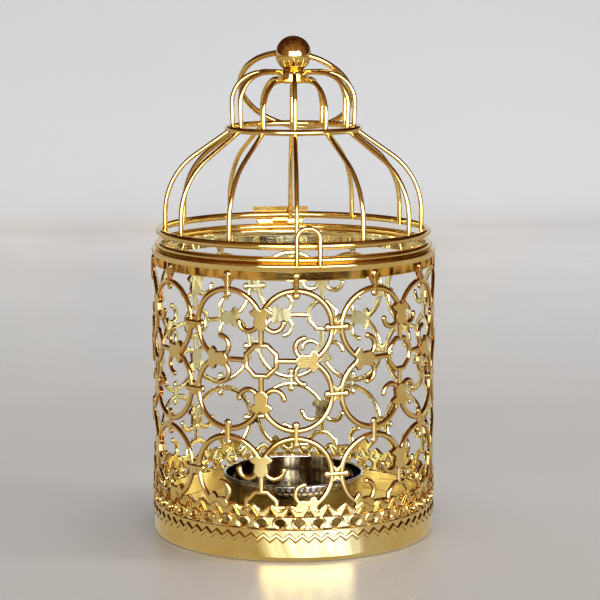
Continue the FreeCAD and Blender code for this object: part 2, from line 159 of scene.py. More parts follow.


# gold plate: clouded tint, uneven polish, and a slightly wavy surface with fine hairlines and pits;
# painted sheen makes it paler on the inside of the cage, and painted shade makes it darker where a form turns
# away from facing out
def goldPlate(name, rough, pale, pitting, waviness, inside=0.0, edge=0.0, metal=1.0):
    finish, shade, place = newFinish(name)
    cloud = place.noise(goldLook["cloudScale"], detail=3.0)
    hair = place.stretched(goldLook["hairScale"]).noise(1.0)
    pits = place.noise(goldLook["pittingScale"])
    warm = cloud.span(*goldLook["clouded"], 0.0, 1.0).mix(goldLook["deep"], goldLook["bright"])
    tarnish = (pits * cloud).span(*goldLook["tarnished"], 0.0, pale)
    level = shade.node("VectorMath", {"operation": "MULTIPLY"}, {0: place, 1: (1, 1, 0)})
    outward = shade.node("VectorMath", {"operation": "NORMALIZE"}, {0: level})
    facing = shade.node("NewGeometry", out="Normal")
    lean = shade.node("VectorMath", {"operation": "DOT_PRODUCT"}, {0: outward, 1: facing}, "Value")
    # painted shade on the sloping sides, then a painted sheen on the faces turned in
    paintedEdgeShade = lean.span(*goldLook["turnedAside"], edge, 0.0)
    outer = paintedEdgeShade.mix(tarnish.mix(warm, goldLook["pale"]), goldLook["edge"])
    paintedInnerSheen = lean.span(*goldLook["turnedIn"], 1.0, 0.0) * inside
    colour = paintedInnerSheen.mix(outer, goldLook["inner"])
    polish = (0.6 * cloud + 0.4 * hair).span(*goldLook["clouded"], *rough)
    relief = 0.5 * pits + 0.5 * hair + waviness * cloud
    useMetal(finish, shade, colour, metal, polish, relief, pitting)
    return finish


steelLook = {
    "dark": (0.14, 0.12, 0.09, 1),
    "light": (0.88, 0.83, 0.74, 1),
    "drawScale": (30, 30, 1500),
    "streakScale": (75, 75, 12),
    "streaked": (0.35, 0.62, 0.0, 1.0),
    "polished": (0.3, 0.7, 0.04, 0.11),
    "relief": 0.15,
}


# bright drawn steel: fine rings round the wall from drawing, and soft upright streaks
def drawnSteel(name):
    finish, shade, place = newFinish(name)
    rings = place.stretched(steelLook["drawScale"]).noise(1.0, detail=3.0)
    streaks = place.stretched(steelLook["streakScale"]).noise(1.0)
    colour = streaks.span(*steelLook["streaked"]).mix(steelLook["dark"], steelLook["light"])
    polish = (0.5 * rings + 0.5 * streaks).span(*steelLook["polished"])
    useMetal(finish, shade, colour, 1.0, polish, rings, steelLook["relief"])
    return finish


wireGold = goldPlate("wireGold", rough=(0.08, 0.13), pale=0.15, pitting=0.08, waviness=2.0)
ballGold = goldPlate("ballGold", rough=(0.02, 0.05), pale=0.10, pitting=0.06, waviness=3.0)
sheetGold = goldPlate(
    "sheetGold", rough=(0.06, 0.11), pale=0.30, pitting=0.12, waviness=3.0, inside=1.0, edge=0.9
)
bandGold = goldPlate("bandGold", rough=(0.03, 0.07), pale=0.30, pitting=0.12, waviness=4.0, inside=1.0)
panGold = goldPlate("panGold", rough=(0.24, 0.34), pale=0.30, pitting=0.10, waviness=2.0, metal=0.45)
borderGold = goldPlate(
    "borderGold", rough=(0.05, 0.10), pale=0.35, pitting=0.12, waviness=3.0, inside=1.0, edge=0.35
)
cupSteel = drawnSteel("cupSteel")
print("finishes made")


# pieces are modelled in millimetres and scaled as they are finished
def finishPiece(name, bm, body, finish, replaced=(), crease=40):
    bmesh.ops.recalc_face_normals(bm, faces=bm.faces)
    bmesh.ops.scale(bm, vec=(mm, mm, mm), verts=bm.verts)
    mesh = bpy.data.meshes.new(name)
    bm.to_mesh(mesh)
    bm.free()
    mesh.materials.append(finish)
    mesh.shade_smooth()
    mesh.set_sharp_from_angle(angle=math.radians(crease))
    piece = bpy.data.objects.new(name, mesh)
    bpy.context.scene.collection.objects.link(piece)
    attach(piece, body)
    if replaced:
        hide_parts(*replaced)
    print("piece", name, len(mesh.polygons), "faces")


def addCopy(target, source, matrix=unmoved):
    mesh = bpy.data.meshes.new("copy")
    source.to_mesh(mesh)
    mesh.transform(matrix)
    target.from_mesh(mesh)
    bpy.data.meshes.remove(mesh)


def capEnds(bm):
    bmesh.ops.holes_fill(bm, edges=[e for e in bm.edges if e.is_boundary], sides=0)


def edgesOf(verts):
    return list(dict.fromkeys(e for v in verts for e in v.link_edges))


def ofKind(geom, kind):
    return [g for g in geom if isinstance(g, kind)]


def everything(bm):
    return bm.verts[:] + bm.edges[:] + bm.faces[:]


def spinRound(bm, geom, steps):
    bmesh.ops.spin(
        bm, geom=geom, cent=(0, 0, 0), axis=upright, angle=fullTurn, steps=steps, use_merge=True
    )


# a closed or open line of points in the XZ plane, spun right round the upright axis
def turned(bm, points, steps=160, closed=True):
    verts = [bm.verts.new((x, 0, z)) for x, z in points]
    ends = verts[1:] + verts[:1] if closed else verts[1:]
    edges = [bm.edges.new(pair) for pair in zip(verts, ends)]
    spinRound(bm, verts + edges, steps)
    bmesh.ops.remove_doubles(bm, verts=bm.verts, dist=weld)


# corner points in the XZ plane with a rounding at each, for a turned outline;
# a short step beside each rounding keeps the flats flat
def roundedOutline(points, rounds, pieces=5, step=0.04):
    outline = []
    count = len(points)
    for index, (tip, bend) in enumerate(zip(points, rounds)):
        tip = Vector(tip)
        if bend == 0:
            outline.append(tuple(tip))
            continue
        back = (Vector(points[index - 1]) - tip).normalized()
        ahead = (Vector(points[(index + 1) % count]) - tip).normalized()
        start, end = tip + back * bend, tip + ahead * bend
        centre = tip + (back + ahead) * bend
        outline.append(tuple(start + back * step))
        for piece in range(pieces + 1):
            swing = quarterTurn * piece / pieces
            point = centre + (start - centre) * math.cos(swing) + (end - centre) * math.sin(swing)
            outline.append(tuple(point))
        outline.append(tuple(end + ahead * step))
    return outline


# a shell of revolution that starts and ends on the axis
def turnedShell(sizes, steps=160):
    bm = bmesh.new()
    turned(bm, roundedOutline(sizes["outline"], sizes["rounds"]), steps, closed=False)
    return bm


def torusWire(bm, radius, wire, height, steps=160, sides=16):
    matrix = Matrix.Translation((radius, 0, height)) @ Matrix.Rotation(quarterTurn, 4, "X")
    made = bmesh.ops.create_circle(bm, cap_ends=False, radius=wire, segments=sides, matrix=matrix)
    spinRound(bm, made["verts"] + edgesOf(made["verts"]), steps)


def runStraight(bm, geom, step):
    made = bmesh.ops.extrude_edge_only(bm, edges=ofKind(geom, BMEdge))["geom"]
    verts = ofKind(made, BMVert)
    bmesh.ops.translate(bm, vec=step, verts=verts)
    moved = set(verts)
    return verts + [e for e in ofKind(made, BMEdge) if set(e.verts) <= moved]


# a round wire along straight runs with bent corners
def bentWire(bm, corners, bends, wire, sides=14, bendSteps=14):
    corners = [Vector(c) for c in corners]
    here = corners[0]
    facing = (corners[1] - here).to_track_quat("Z", "Y").to_matrix().to_4x4()
    made = bmesh.ops.create_circle(
        bm, cap_ends=False, radius=wire, segments=sides, matrix=Matrix.Translation(here) @ facing
    )
    geom = made["verts"] + edgesOf(made["verts"])
    for index, bend in enumerate(bends, start=1):
        tip = corners[index]
        back = (corners[index - 1] - tip).normalized()
        ahead = (corners[index + 1] - tip).normalized()
        half = back.angle(ahead) / 2
        run = bend / math.tan(half)
        centre = tip + (back + ahead).normalized() * (bend / math.sin(half))
        geom = runStraight(bm, geom, tip + back * run - here)
        made = bmesh.ops.spin(
            bm, geom=geom, cent=centre, axis=ahead.cross(back), angle=math.pi - 2 * half, steps=bendSteps
        )
        geom = ofKind(made["geom_last"], (BMVert, BMEdge))
        here = tip + ahead * run
    runStraight(bm, geom, corners[-1] - here)
    capEnds(bm)


# the cage's filigree is laid out flat, x round the cage, y out of the sheet, z up, then wrapped round
sheetSizes = {
    "radius": 39.0,
    "units": 6,
    "turn": -18.6,
    "rowHeights": (54.1, 14.8),
    "clipHeight": 14.0,
    "bandEdge": 75.4,
    "backDepth": -0.85,
    "crestDepth": 0.22,
}
pitch = fullTurn * sheetSizes["radius"] / sheetSizes["units"]


def wrapRound(bm, turn):
    radius = sheetSizes["radius"]
    for vert in bm.verts:
        angle = turn + vert.co.x / radius
        reach = radius + vert.co.y
        vert.co = (reach * math.sin(angle), -reach * math.cos(angle), vert.co.z)


# one flat unit, repeated right round the cage
def allRound(unit):
    whole = bmesh.new()
    for number in range(sheetSizes["units"]):
        part = unit.copy()
        wrapRound(part, math.radians(sheetSizes["turn"]) + number * fullTurn / sheetSizes["units"])
        addCopy(whole, part)
        part.free()
    unit.free()
    return whole


strokeSizes = {
    "half": 0.80,
    "rise": 0.72,
    "backRise": 0.35,
    "parting": -0.1,
    "hookHalf": 0.74,
    "sides": 12,
    "lobeSteps": 36,
    "hookSteps": 16,
}


# the stroke's section: half round in front, less so behind, crossing the stroke along x
def strokeSection(bm, half, matrix):
    made = bmesh.ops.create_circle(bm, cap_ends=False, radius=1.0, segments=strokeSizes["sides"])["verts"]
    for vert in made:
        if vert.co.y < strokeSizes["parting"]:
            vert.co.y = sheetSizes["backDepth"] + strokeSizes["backRise"] * (vert.co.y + 1)
        else:
            vert.co.y = sheetSizes["crestDepth"] + strokeSizes["rise"] * (vert.co.y - 1)
        vert.co.x *= half
    bmesh.ops.transform(bm, matrix=matrix, verts=made)
    return made + edgesOf(made)


def arcStroke(bm, centre, radius, first, last, half, steps):
    middle = Vector((centre[0], 0, centre[1]))
    turn = Matrix.Rotation(-first, 4, "Y")
    geom = strokeSection(bm, half, Matrix.Translation(middle) @ turn @ Matrix.Translation((radius, 0, 0)))
    whole = math.isclose(abs(last - first), fullTurn)
    bmesh.ops.spin(
        bm, geom=geom, cent=middle, axis=(0, -1, 0), angle=last - first, steps=steps, use_merge=whole
    )


def straightStroke(bm, x, low, high, half):
    geom = strokeSection(bm, half, Matrix.Translation((x, 0, low)))
    runStraight(bm, geom, Vector((0, 0, high - low)))


# half the depth, and the middle, of a form from the sheet's back to the given front
def depthOf(front):
    back = sheetSizes["backDepth"]
    return (front - back) / 2, (front + back) / 2


def addKnob(bm, x, z, half, front, sides=(12, 8)):
    depth, middle = depthOf(front)
    made = bmesh.ops.create_uvsphere(bm, u_segments=sides[0], v_segments=sides[1], radius=1.0)["verts"]
    bmesh.ops.scale(bm, vec=(half, depth, half), verts=made)
    bmesh.ops.translate(bm, vec=(x, middle, z), verts=made)


# cuts right through every millimetre, so that a flat piece can bend
def cutAcross(bm):
    for axis in (0, 2):
        spots = [v.co[axis] for v in bm.verts]
        across = Vector((0, 0, 0))
        across[axis] = 1
        for place in range(math.ceil(min(spots)), math.ceil(max(spots))):
            bmesh.ops.bisect_plane(
                bm, geom=everything(bm), dist=weld, plane_co=across * place, plane_no=across
            )


plateSizes = {"cornerSteps": 4, "edgeSteps": 2, "inset": 0.06}


# a flat plate of the sheet's thickness with a softened front edge
def addPlate(bm, outline, face, edge, rounded=(), corner=0.0):
    plate = bmesh.new()
    verts = [plate.verts.new((x, sheetSizes["backDepth"], z)) for x, z in outline]
    plate.faces.new(verts)
    if rounded:
        bmesh.ops.bevel(
            plate, geom=[verts[n] for n in rounded], offset=corner, segments=plateSizes["cornerSteps"],
            profile=0.5, affect="VERTICES", material=-1,
        )
    made = bmesh.ops.extrude_face_region(plate, geom=plate.faces[:])["geom"]
    lift = (0, face - sheetSizes["backDepth"], 0)
    bmesh.ops.translate(plate, vec=lift, verts=ofKind(made, BMVert))
    rim = list(dict.fromkeys(e for f in ofKind(made, BMFace) for e in f.edges))
    bmesh.ops.bevel(
        plate, geom=rim, offset=edge, segments=plateSizes["edgeSteps"],
        profile=0.5, affect="EDGES", material=-1,
    )
    level = [f for f in plate.faces if all(v.co.y > face - weld for v in f.verts)]
    bmesh.ops.inset_region(plate, faces=level, thickness=plateSizes["inset"])
    cutAcross(plate)
    addCopy(bm, plate)
    plate.free()


starSizes = {
    "side": [
        (1.2, -0.75), (2.3, 0.05), (3.2, 0.75), (2.75, 1.55),
        (1.75, 2.05), (1.85, 3.0), (2.05, 3.9), (1.75, 4.6), (0.7, 5.6),
    ],
    "ears": (2, 3, 4),
    "corner": 0.3,
    "edge": 0.3,
    "face": 0.3,
    "hookCentre": (3.5, 3.15),
    "hookRadius": 2.65,
    "hookEnd": -7,
    "hookSwell": 1.12,
    "stemHalf": 0.75,
    "stemOverlap": 0.6,
}


# a star joins two lobes: flat plate with rounded ears, two hooks and a stem down to the octagon
def addStar(bm, head, octagonReach):
    side = [(x, head - drop) for x, drop in starSizes["side"]]
    outline = [(0, head)] + side + [(-x, z) for x, z in reversed(side)]
    ears = sorted([*starSizes["ears"], *(len(outline) - n for n in starSizes["ears"])])
    addPlate(bm, outline, starSizes["face"], starSizes["edge"], ears, starSizes["corner"])
    reach, drop = starSizes["hookCentre"]
    end = math.radians(starSizes["hookEnd"])
    radius, half = starSizes["hookRadius"], strokeSizes["hookHalf"]
    endX, endZ = reach + radius * math.cos(end), head - drop + radius * math.sin(end)
    for sign in (-1, 1):
        first, last = (-math.pi, end) if sign > 0 else (0, -math.pi - end)
        arcStroke(bm, (sign * reach, head - drop), radius, first, last, half, strokeSizes["hookSteps"])
        addKnob(bm, sign * endX, endZ, starSizes["hookSwell"] * half, sheetSizes["crestDepth"])
    stemTop = side[-1][1] + starSizes["stemOverlap"]
    straightStroke(bm, 0, octagonReach, stemTop, starSizes["stemHalf"])


quatrefoilSizes = {"spread": 9.4, "rise": 8.9, "radius": 9.7, "octagon": 9.8}


# four lobes that meet in cusps, an octagon at the middle and a star at each cusp
def buildQuatrefoil():
    spread, rise, radius = (quatrefoilSizes[key] for key in ("spread", "rise", "radius"))
    half = strokeSizes["half"]
    bm = bmesh.new()
    first = math.atan2(-rise, math.sqrt(radius**2 - rise**2))
    last = math.atan2(math.sqrt(radius**2 - spread**2), -spread)
    lobe = bmesh.new()
    arcStroke(lobe, (spread, rise), radius, first, last, half, strokeSizes["lobeSteps"])
    capEnds(lobe)
    for x in (-1, 1):
        for z in (-1, 1):
            addCopy(bm, lobe, Matrix.Diagonal((x, 1, z, 1)))
    lobe.free()
    sides = 8
    halfSide = math.pi / sides
    apothem = quatrefoilSizes["octagon"] / 2 - half
    arcStroke(bm, (0, 0), apothem / math.cos(halfSide), halfSide, halfSide + fullTurn, half, sides)
    outer = radius + half
    heads = (rise + math.sqrt(outer**2 - spread**2), spread + math.sqrt(outer**2 - rise**2))
    for quarter in range(4):
        star = bmesh.new()
        addStar(star, heads[quarter % 2], apothem)
        capEnds(star)
        addCopy(bm, star, Matrix.Rotation(quarter * quarterTurn, 4, "Y"))
        star.free()
    return bm


collarSizes = {
    "length": 7.3,
    "half": 0.8,
    "sides": 14,
    "knob": 1.08,
    "knobSides": (14, 9),
    "proud": 0.4,
    "plateEdge": 0.15,
    "flareHalf": 2.65,
    "flareDrop": 1.6,
    "flareSteps": 4,
    "flareOverlap": 0.3,
    "flareFace": 0.0,
    "web": [
        (1.25, 2.3), (0, 1.5), (-1.25, 2.3), (-0.35, 0),
        (-1.25, -2.3), (0, -1.5), (1.25, -2.3), (0.35, 0),
    ],
    "webFace": 0.05,
}


# a tie bar with a knob at each end, lying along x
def buildCollar():
    bm = bmesh.new()
    run = collarSizes["length"] / 2 - collarSizes["knob"]
    depth, middle = depthOf(collarSizes["proud"])
    across = Matrix.Rotation(quarterTurn, 4, "Y")
    made = bmesh.ops.create_circle(
        bm, cap_ends=False, radius=1.0, segments=collarSizes["sides"], matrix=across
    )["verts"]
    bmesh.ops.scale(bm, vec=(1, depth, collarSizes["half"]), verts=made)
    bmesh.ops.translate(bm, vec=(-run, middle, 0), verts=made)
    runStraight(bm, made + edgesOf(made), Vector((2 * run, 0, 0)))
    capEnds(bm)
    for side in (-run, run):
        addKnob(bm, side, 0, collarSizes["knob"], collarSizes["proud"], collarSizes["knobSides"])
    return bm


# a top collar widens in two hollow curves where it runs into the band
def addFlare(bm, x):
    wide, narrow, drop = collarSizes["flareHalf"], collarSizes["half"], collarSizes["flareDrop"]
    side = [(wide, sheetSizes["bandEdge"] + collarSizes["flareOverlap"])]
    for step in range(collarSizes["flareSteps"] + 1):
        swing = quarterTurn * step / collarSizes["flareSteps"]
        z = sheetSizes["bandEdge"] - drop + drop * math.cos(swing)
        side.append((wide - (wide - narrow) * math.sin(swing), z))
    outline = [(x + reach, z) for reach, z in side] + [(x - reach, z) for reach, z in reversed(side)]
    addPlate(bm, outline, collarSizes["flareFace"], collarSizes["plateEdge"])


# a plate behind a lying collar, hollowed on all four sides
def addWeb(bm, x, z):
    outline = [(x + reach, z + lift) for reach, lift in collarSizes["web"]]
    addPlate(bm, outline, collarSizes["webFace"], collarSizes["plateEdge"])


def clipBelow(bm, height):
    bmesh.ops.bisect_plane(
        bm, geom=everything(bm), plane_co=(0, 0, height), plane_no=upright, clear_inner=True
    )
    capEnds(bm)


def buildFiligree():
    high, low = sheetSizes["rowHeights"]
    spread, rise, radius = (quatrefoilSizes[key] for key in ("spread", "rise", "radius"))
    unit = bmesh.new()
    motif = buildQuatrefoil()
    addCopy(unit, motif, Matrix.Translation((0, 0, high)))
    lower = bmesh.new()
    addCopy(lower, motif, Matrix.Translation((0, 0, low)))
    clipBelow(lower, sheetSizes["clipHeight"])
    addCopy(unit, lower)
    collar = buildCollar()
    stood = Matrix.Rotation(quarterTurn, 4, "Y")
    between = (high + low) / 2
    underBand = (high + rise + radius + sheetSizes["bandEdge"]) / 2
    for side in (-spread, spread):
        for height in (between, underBand):
            addCopy(unit, collar, Matrix.Translation((side, 0, height)) @ stood)
        addFlare(unit, side)
    for height in (high - rise, high + rise, low + rise):
        addCopy(unit, collar, Matrix.Translation((pitch / 2, 0, height)))
        addWeb(unit, pitch / 2, height)
    for spare in (motif, lower, collar):
        spare.free()
    return allRound(unit)


finishPiece("cageFiligree", buildFiligree(), "cage", sheetGold, ("cage_wall",))


borderSizes = {
    "count": 48,
    "foot": 8.6,
    "crest": 15.6,
    "trough": 14.1,
    "waveSteps": 8,
    "cell": (3.2, 2.5),
    "cellHeight": 10.7,
    "cellSides": 14,
    "triangle": (2.4, 2.0),
    "triangleFoot": 12.5,
    "triangleGrowth": (1.6, 1.8),
    "round": 0.2,
    "thick": 0.9,
    "rim": 0.42,
    "rimDepth": 0.42,
    "cellRim": 0.2,
    "triangleRim": 0.15,
    "waveRim": 0.3,
    "toothCuts": 4,
    "seam": 1e-3,
}


def newCurve(name, dimensions, fill, bevel):
    curve = bpy.data.curves.new(name, "CURVE")
    curve.dimensions = dimensions
    curve.fill_mode = fill
    curve.bevel_depth = bevel
    curve.bevel_resolution = 2
    return curve


def addSpline(curve, points, closed=True, depth=0.0):
    spline = curve.splines.new("POLY")
    spline.points.add(len(points) - 1)
    for point, (x, z) in zip(spline.points, points):
        point.co = (x, z, depth, 1)
    spline.use_cyclic_u = closed


# an oval cell and a triangle of the border, each drawn larger by the given margin
def borderCell(middle, margin):
    wide, tall = (reach / 2 + margin for reach in borderSizes["cell"])
    sides = borderSizes["cellSides"]
    turns = [-step * fullTurn / sides for step in range(sides)]
    return [(middle + wide * math.cos(a), borderSizes["cellHeight"] + tall * math.sin(a)) for a in turns]


def borderTriangle(middle, margin):
    base, high = borderSizes["triangle"]
    wider, taller = (growth * margin for growth in borderSizes["triangleGrowth"])
    half = base / 2 + wider
    foot = borderSizes["triangleFoot"] - margin
    tip = borderSizes["triangleFoot"] + high + taller
    return [(middle - half, foot), (middle, tip), (middle + half, foot)]


def borderWave(tooth, teeth, drop):
    line = []
    for step in range(borderSizes["waveSteps"] * (teeth + 2), -1, -1):
        phase = step / borderSizes["waveSteps"] - 1
        wave = 0.5 - 0.5 * math.cos(phase * fullTurn)
        height = borderSizes["trough"] + wave * (borderSizes["crest"] - borderSizes["trough"])
        line.append((phase * tooth, height - drop))
    return line


def meshOfCurve(bm, curve):
    flat = bpy.data.objects.new("borderFlat", curve)
    bpy.context.scene.collection.objects.link(flat)
    bpy.context.view_layer.update()
    mesh = bpy.data.meshes.new_from_object(flat.evaluated_get(bpy.context.evaluated_depsgraph_get()))
    bpy.data.objects.remove(flat)
    bm.from_mesh(mesh)
    bpy.data.meshes.remove(mesh)


# the pierced border under the filigree, one unit long: a flat curve with holes and a raised rim round each,
# cut across so that it can bend
def buildBorder():
    tooth = fullTurn * sheetSizes["radius"] / borderSizes["count"]
    teeth = borderSizes["count"] // sheetSizes["units"]
    plate = newCurve("borderPlate", "2D", "BOTH", borderSizes["round"])
    plate.extrude = borderSizes["thick"] / 2 - borderSizes["round"]
    plate.offset = -borderSizes["round"]
    rims = newCurve("borderRims", "3D", "FULL", borderSizes["rim"])
    foot = [(-tooth, borderSizes["foot"]), ((teeth + 1) * tooth, borderSizes["foot"])]
    addSpline(plate, foot + borderWave(tooth, teeth, 0.0))
    addSpline(rims, borderWave(tooth, teeth, borderSizes["waveRim"]), False, borderSizes["rimDepth"])
    for number in range(-1, teeth + 1):
        middle = number * tooth
        addSpline(plate, borderCell(middle, 0.0))
        addSpline(plate, borderTriangle(middle + tooth / 2, 0.0))
        for depth in (-borderSizes["rimDepth"], borderSizes["rimDepth"]):
            addSpline(rims, borderCell(middle, borderSizes["cellRim"]), True, depth)
            addSpline(rims, borderTriangle(middle + tooth / 2, borderSizes["triangleRim"]), True, depth)
    bm = bmesh.new()
    meshOfCurve(bm, plate)
    meshOfCurve(bm, rims)
    bmesh.ops.remove_doubles(bm, verts=bm.verts, dist=weld)
    for vert in bm.verts:
        vert.co = (vert.co.x, vert.co.z - borderSizes["thick"] / 2, vert.co.y)
    cuts = teeth * borderSizes["toothCuts"]
    for step in range(cuts + 1):
        bmesh.ops.bisect_plane(
            bm, geom=everything(bm), dist=weld, plane_co=(step * pitch / cuts, 0, 0), plane_no=(1, 0, 0),
            clear_inner=step == 0, clear_outer=step == cuts,
        )
    whole = allRound(bm)
    bmesh.ops.remove_doubles(whole, verts=whole.verts, dist=borderSizes["seam"])
    return whole


finishPiece("cageBorder", buildBorder(), "cage", borderGold)


bandSizes = {
    "top": [
        (38.8, 75.3), (38.8, 77.9), (39.3, 79.0), (39.0, 79.7),
        (36.3, 79.7), (36.3, 78.8), (37.6, 78.8), (38.1, 78.0), (38.1, 75.3),
    ],
    "topRounds": [0.2, 0.2, 0.3, 0.25, 0.3, 0.2, 0.3, 0.2, 0.2],
    "foot": [(37.0, 0.0), (39.0, 0.0), (39.0, 8.9), (38.1, 8.9), (38.1, 0.9), (36.4, 0.9), (36.4, 0.0)],
    "footRounds": [0, 1.3, 0.25, 0.2, 0.4, 0.2, 0.2],
    "bead": (39.0, 0.22, 8.76),
}
bm = bmesh.new()
turned(bm, roundedOutline(bandSizes["top"], bandSizes["topRounds"]))
turned(bm, roundedOutline(bandSizes["foot"], bandSizes["footRounds"]))
torusWire(bm, *bandSizes["bead"], sides=8)
finishPiece("cageBands", bm, "cage", bandGold)


zigzagSizes = {
    "count": 72,
    "height": 6.6,
    "rise": 0.75,
    "bead": 0.6,
    "sides": 10,
    "radius": 39.02,
    "flatten": 0.76,
}


# a raised zigzag round the foot: a mitred section at each turn, bridged to the one before
def buildZigzag():
    bm = bmesh.new()
    teeth, rise, radius = (zigzagSizes[key] for key in ("count", "rise", "radius"))
    step = fullTurn / teeth / 2
    slope = math.atan2(2 * rise, step * radius)
    stretch = Matrix.Diagonal((1, zigzagSizes["flatten"], 1 / math.cos(slope), 1))
    section = stretch @ Matrix.Rotation(quarterTurn, 4, "Y")
    rings = []
    for index in range(2 * teeth):
        height = zigzagSizes["height"] + (rise if index % 2 else -rise)
        place = Matrix.Rotation(index * step, 4, "Z") @ Matrix.Translation((0, -radius, height))
        made = bmesh.ops.create_circle(
            bm, cap_ends=False, radius=zigzagSizes["bead"], segments=zigzagSizes["sides"],
            matrix=place @ section,
        )
        rings.append(edgesOf(made["verts"]))
    for index, ring in enumerate(rings):
        bmesh.ops.bridge_loops(bm, edges=ring + rings[index - 1])
    return bm


finishPiece("cageZigzag", buildZigzag(), "cage", sheetGold, crease=60)


panSizes = {
    "outline": [(0, 3.4), (38.05, 3.4), (38.05, 0.9), (37.25, 0.9), (37.25, 2.6), (0, 2.6)],
    "rounds": [0, 0.5, 0.5, 0.1, 0.3, 0],
}
finishPiece("cageFloor", turnedShell(panSizes), "cage", panGold, ("base_plate",))

cupSizes = {
    "outline": [
        (0, 3.4), (19.35, 3.4), (19.35, 15.0), (19.75, 15.0),
        (19.75, 16.0), (18.95, 16.0), (18.95, 3.8), (0, 3.8),
    ],
    "rounds": [0, 1.4, 0.05, 0.25, 0.35, 0.3, 1.0, 0],
}
finishPiece("candleCup", turnedShell(cupSizes), "candle_cup", cupSteel, ("tealight_cup",))


# rings: radius, wire radius and height
wireSizes = {
    "rimRing": (37.3, 1.0, 80.58),
    "lidRing": (36.9, 1.0, 84.18),
    "waistRing": (17.98, 0.85, 112.3),
    "ribWire": 0.65,
    "ribs": 12,
    "ribTurn": -4.4,
    "ribCorners": [(0, -35.37, 83.38), (0, -35.37, 99.2), (0, -16.6, 112.3)],
    "crowns": (127.6, 125.4),
    "crownReach": (-17.2, -2.1),
    "lowRibs": (1, 5, 7, 11),
    "ribBends": [19.5, 1.4, 8.4],
    "catchCorners": [
        (-3.05, -38.74, 79.08), (-3.05, -38.74, 89.08), (3.05, -38.74, 89.08), (3.05, -38.74, 79.08),
    ],
    "catchBends": [2.95, 2.95],
    "catchWire": 0.68,
}
for name, body, node in (
    ("rimRing", "cage", "rim_ring"), ("lidRing", "lid", "lid_ring"), ("waistRing", "lid", "waist_ring"),
):
    bm = bmesh.new()
    torusWire(bm, *wireSizes[name])
    finishPiece(name, bm, body, wireGold, (node,))

ribs = []
for crown in wireSizes["crowns"]:
    rib = bmesh.new()
    corners = wireSizes["ribCorners"] + [(0, y, crown) for y in wireSizes["crownReach"]]
    bentWire(rib, corners, wireSizes["ribBends"], wireSizes["ribWire"])
    ribs.append(rib)
bm = bmesh.new()
for number in range(wireSizes["ribs"]):
    turn = math.radians(wireSizes["ribTurn"]) + number * fullTurn / wireSizes["ribs"]
    addCopy(bm, ribs[number in wireSizes["lowRibs"]], Matrix.Rotation(turn, 4, "Z"))
for rib in ribs:
    rib.free()
ribNodes = [f"rib_{number + 1:02d}" for number in range(wireSizes["ribs"])]
finishPiece("domeRibs", bm, "lid", wireGold, ribNodes)

bm = bmesh.new()
bentWire(bm, wireSizes["catchCorners"], wireSizes["catchBends"], wireSizes["catchWire"])
finishPiece("frontCatch", bm, "cage", wireGold, ("front_catch",))


ballSizes = {
    "centre": (0, 0, 132.55),
    "radius": 4.95,
    "bore": 1.42,
    "lip": 0.35,
    "lipBend": (0.3, 0.1),
    "turn": -14,
    "roll": 5,
    "steps": 32,
}
boreFrame = Matrix.Rotation(math.radians(ballSizes["turn"]), 4, "Z") @ Matrix.Rotation(
    math.radians(ballSizes["roll"]), 4, "Y"
)


# the ball is spun about its cross hole, then laid over to that hole's direction
def buildBall():
    bm = bmesh.new()
    radius, bore, lip, steps = (ballSizes[key] for key in ("radius", "bore", "lip", "steps"))
    edge = math.asin((bore + lip) / radius)
    outline = []
    for step in range(steps + 1):
        angle = edge + (math.pi - 2 * edge) * step / steps
        outline.append((radius * math.sin(angle), radius * math.cos(angle)))
    foot = outline[-1][1]
    bendOut, bendIn = ballSizes["lipBend"]
    mouth = [(bore + bendOut * lip, foot + bendIn * lip), (bore, foot + lip)]
    turned(bm, outline + mouth + [(x, -z) for x, z in reversed(mouth)], steps=2 * steps)
    place = Matrix.Translation(ballSizes["centre"]) @ boreFrame @ Matrix.Rotation(quarterTurn, 4, "Y")
    bmesh.ops.transform(bm, matrix=place, verts=bm.verts)
    return bm


finishPiece("finialBall", buildBall(), "lid", ballGold, ("finial_ball",))

hubSizes = {"outline": [(0, 124.6), (4.2, 124.6), (4.2, 128.4), (0, 128.4)], "rounds": [0, 0.7, 1.4, 0]}
finishPiece("crownHub", turnedShell(hubSizes, steps=48), "lid", wireGold, ("crown_hub",))

ringSizes = {"radius": 15.7, "wire": 0.8, "lift": 0.37, "lean": 44}
bm = bmesh.new()
torusWire(bm, ringSizes["radius"], ringSizes["wire"], 0, steps=128)
leaning = boreFrame @ Matrix.Rotation(-math.radians(ringSizes["lean"]), 4, "X")
reach = Matrix.Translation((0, ringSizes["radius"] - ringSizes["lift"], 0))
bmesh.ops.transform(bm, matrix=Matrix.Translation(ballSizes["centre"]) @ leaning @ reach, verts=bm.verts)
finishPiece("hangingRing", bm, "hanging_ring", wireGold, ("hanging_ring",))

for node in ("hinge_upper_leaf", "hinge_lower_leaf", "hinge_pin"):
    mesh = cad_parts[node].data
    mesh.materials.clear()
    mesh.materials.append(wireGold)
print("wires and hinge done")


def addStaged(name, bm, finish, smooth):
    mesh = bpy.data.meshes.new(name)
    bm.to_mesh(mesh)
    bm.free()
    if smooth:
        mesh.shade_smooth()
    mesh.materials.append(finish)
    thing = bpy.data.objects.new(name, mesh)
    bpy.context.scene.collection.objects.link(thing)


# a surface that only glows: no lamp shows on it
def glowing(shade, colour):
    return shade.node("BsdfPrincipled", {}, {
        "Base Color": (0, 0, 0, 1), "Specular IOR Level": 0.0,
        "Emission Color": colour, "Emission Strength": 1.0,
    })


stageSizes = {"half": 3.0, "depth": 1.2, "tall": 2.4, "sweep": 0.5, "steps": 24}


